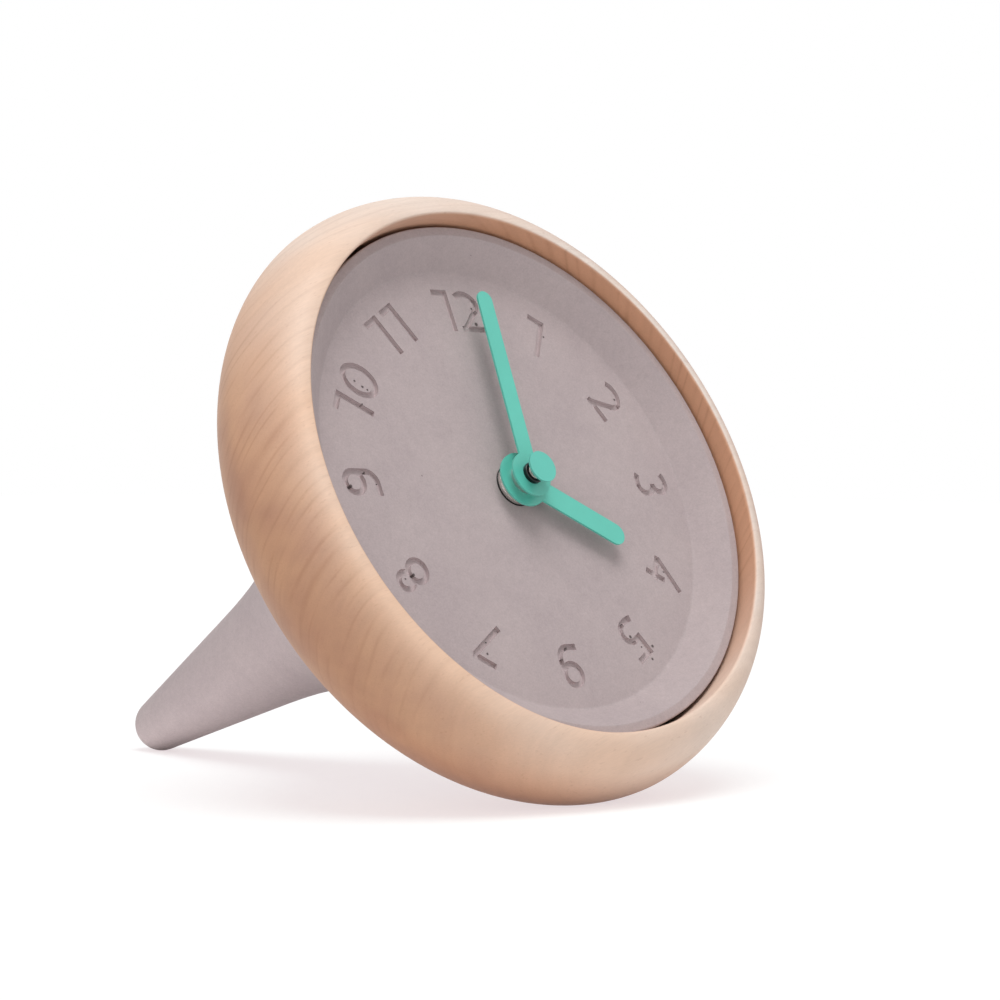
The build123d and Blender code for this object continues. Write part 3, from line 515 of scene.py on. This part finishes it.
def turned_ring():
    ring = as_object(ring_mesh(), "beech_ring")
    cutters = magnet_cutters()
    cut = ring.modifiers.new("pockets", "BOOLEAN")
    cut.operation = "DIFFERENCE"
    cut.solver = "EXACT"
    cut.object = cutters
    bpy.context.view_layer.update()
    shaped = bpy.data.meshes.new_from_object(ring.evaluated_get(bpy.context.evaluated_depsgraph_get()))
    ring.modifiers.clear()
    ring.data = shaped
    bpy.data.objects.remove(cutters)
    shaped.shade_smooth()
    shaped.set_sharp_from_angle(angle=radians(32))
    shaped.materials.clear()
    shaped.materials.append(beech_wood)
    return ring


beech_ring = turned_ring()
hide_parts("wood_ring")
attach(beech_ring, "clock")

# Floor and light. The floor and the world are white to the camera, and light the clock less.
FLOOR_SIZE = 6
FLOOR_GLOW = (0.72, 0.64, 0.65, 1)
FLOOR_SHADOW = (0.32, 0.4, 0.39, 1)
FLOOR_BOUNCE = (0.9, 0.9, 0.9, 1)
WORLD_LIGHT = 0.47
bpy.ops.mesh.primitive_plane_add(size=FLOOR_SIZE)
floor = bpy.context.object
floor.name = "studio_floor"


def seen_directly(tree):
    """1 for rays from the camera, from mirrors and through glass, 0 for the light that falls on things."""
    path = tree.nodes.new("ShaderNodeLightPath")
    share = path.outputs["Is Camera Ray"]
    for name in ("Is Glossy Ray", "Is Transmission Ray"):
        both = tree.nodes.new("ShaderNodeMath")
        both.operation = "MAXIMUM"
        tree.links.new(share, both.inputs[0])
        tree.links.new(path.outputs[name], both.inputs[1])
        share = both.outputs[0]
    return share


def floor_material():
    material = bpy.data.materials.new("pale_floor")
    material.use_nodes = True
    tree = material.node_tree
    tree.nodes.clear()
    output = tree.nodes.new("ShaderNodeOutputMaterial")
    plain_white = tree.nodes.new("ShaderNodeBsdfDiffuse")
    plain_white.inputs["Color"].default_value = FLOOR_BOUNCE
    shadowed = tree.nodes.new("ShaderNodeBsdfDiffuse")
    shadowed.inputs["Color"].default_value = FLOOR_SHADOW
    glow = tree.nodes.new("ShaderNodeEmission")
    glow.inputs["Color"].default_value = FLOOR_GLOW
    glow.inputs["Strength"].default_value = 1.0
    both = tree.nodes.new("ShaderNodeAddShader")
    choice = tree.nodes.new("ShaderNodeMixShader")
    tree.links.new(shadowed.outputs[0], both.inputs[0])
    tree.links.new(glow.outputs[0], both.inputs[1])
    tree.links.new(seen_directly(tree), choice.inputs[0])
    tree.links.new(plain_white.outputs[0], choice.inputs[1])
    tree.links.new(both.outputs[0], choice.inputs[2])
    tree.links.new(choice.outputs[0], output.inputs[0])
    return material


floor.data.materials.append(floor_material())

world = bpy.data.worlds.new("studio")
scene.world = world
world.use_nodes = True
world_tree = world.node_tree
background = world_tree.nodes["Background"]
strength = world_tree.nodes.new("ShaderNodeMapRange")
world_tree.links.new(seen_directly(world_tree), strength.inputs[0])
strength.inputs[3].default_value = WORLD_LIGHT
strength.inputs[4].default_value = 1.0
background.inputs["Color"].default_value = (1, 1, 1, 1)
world_tree.links.new(strength.outputs[0], background.inputs["Strength"])


def soft_sun(name, azimuth, elevation, spread, power):
    """A broad far lamp. Its azimuth is counted from -Y towards -X, in degrees."""
    a, e = radians(azimuth), radians(elevation)
    lamp = bpy.data.lights.new(name, "SUN")
    lamp.angle = radians(spread)
    lamp.energy = power
    item = bpy.data.objects.new(name, lamp)
    scene.collection.objects.link(item)
    towards = Vector((-sin(a) * cos(e), -cos(a) * cos(e), sin(e)))
    item.location = towards
    item.rotation_euler = towards.to_track_quat("Z", "Y").to_euler()


soft_sun("key_light", 30, 74, 34, 1.72)
soft_sun("side_light", 70, 4, 60, 0.65)

# Camera at the photograph's viewing angle
camera_data = bpy.data.cameras.new("camera")
camera_data.lens = 108
camera_data.sensor_width = 36
camera = bpy.data.objects.new("camera", camera_data)
scene.collection.objects.link(camera)
scene.camera = camera
yaw, pitch, roll = 0.76453, 0.01761, 0.00826
camera.location = (-0.44555, -0.50646, 0.07443)
forward = Vector((sin(yaw) * cos(pitch), cos(yaw) * cos(pitch), -sin(pitch)))
camera.rotation_euler = (forward.to_track_quat("-Z", "Y") @ Quaternion((0, 0, 1), roll)).to_euler()
scene.view_settings.view_transform = "Standard"

bpy.context.view_layer.update()
